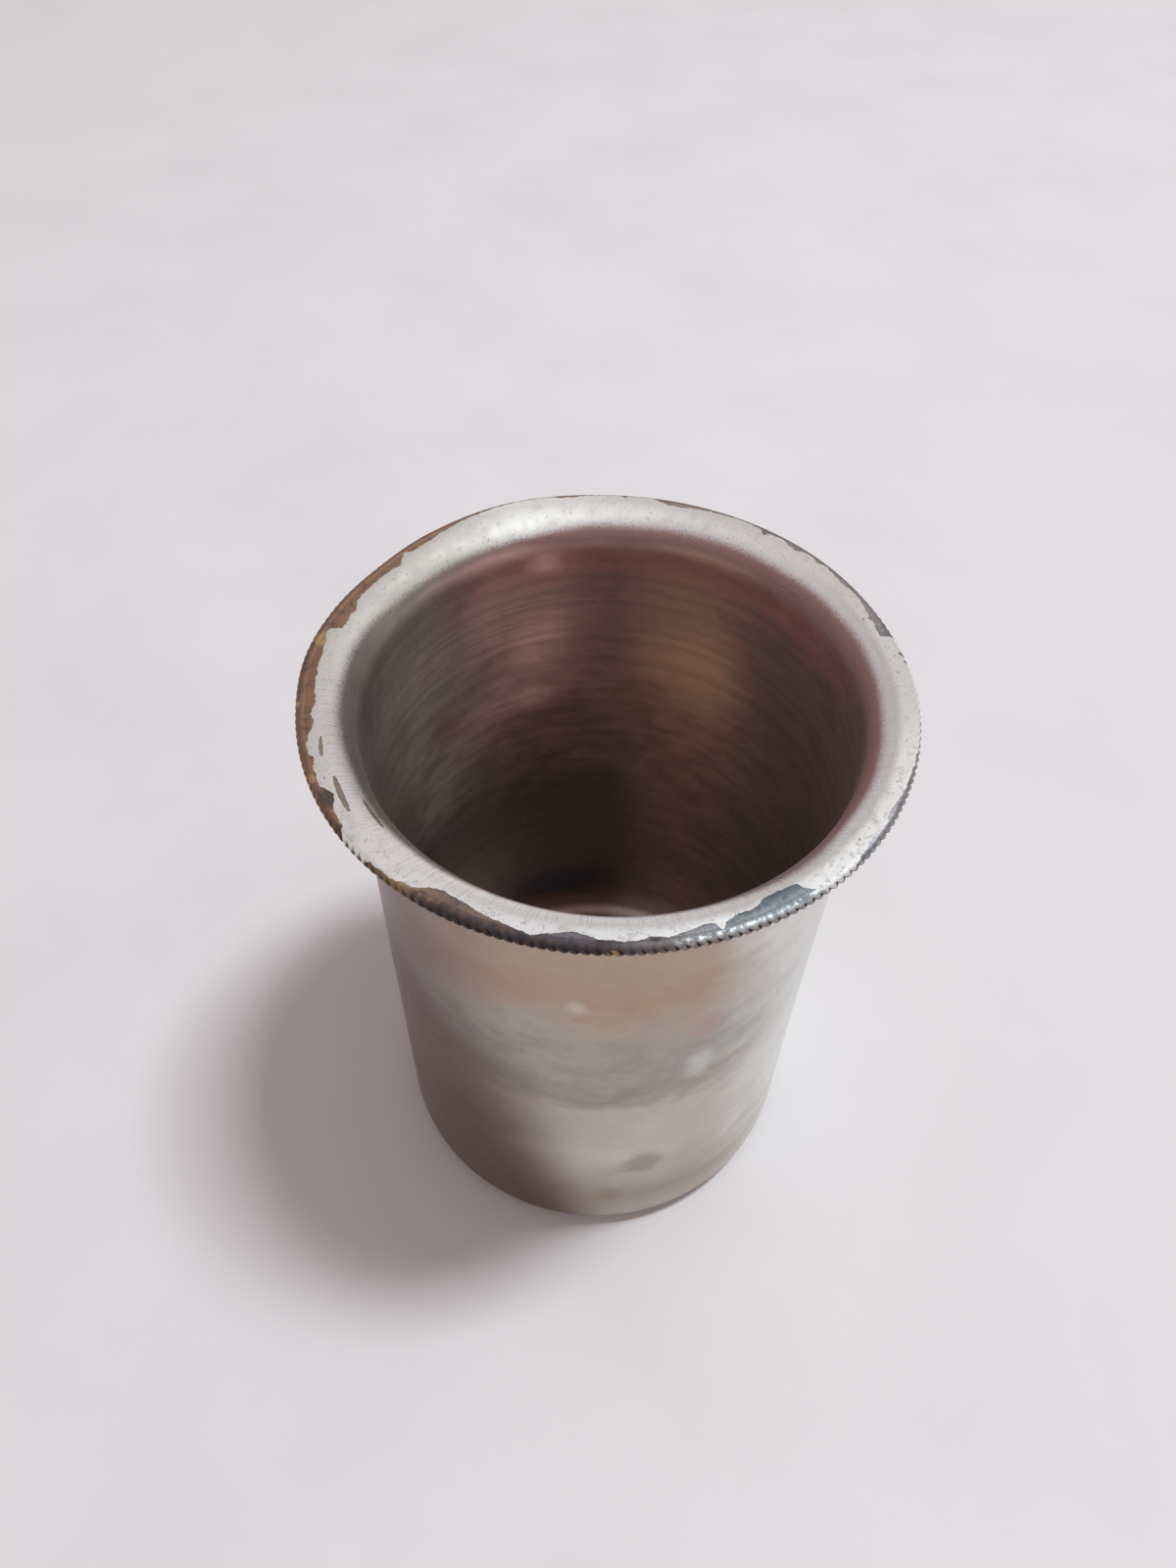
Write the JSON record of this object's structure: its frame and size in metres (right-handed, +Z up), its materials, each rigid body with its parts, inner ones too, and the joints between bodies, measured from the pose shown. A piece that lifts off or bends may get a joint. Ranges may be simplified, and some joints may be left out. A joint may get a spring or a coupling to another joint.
{
  "type": "metal tumbler",
  "caption": "Small straight-walled metal tumbler with a broad flared lip and a rope-milled edge; its silver plate is flaking off the lip and shows the tarnished brass under it.",
  "frame": {"origin": "centre of the standing ring, on the surface that the tumbler stands on", "axes": "+Z up along the tumbler's axis; +X and +Y are any two square directions, with -Y towards the viewer of the picture"},
  "size_m": [0.052, 0.052, 0.065],
  "materials": {
    "brass": "tarnished to dark brown, blue-grey in places, with golden specks",
    "milled_brass": "worn along the milling, with plate left in the grooves and on the shoulders",
    "bright_plate": "satin silver plate, white on the lip and darker down the bore, with fine turning marks",
    "dull_plate": "silver plate clouded with grey and brown tarnish"
  },
  "bodies": {
    "root": {"body_shell": "brass", "rim_wire": "milled_brass", "inner_plate": "bright_plate", "outer_plate": "dull_plate", "base_plate": "dull_plate"}
  },
  "joints": []
}
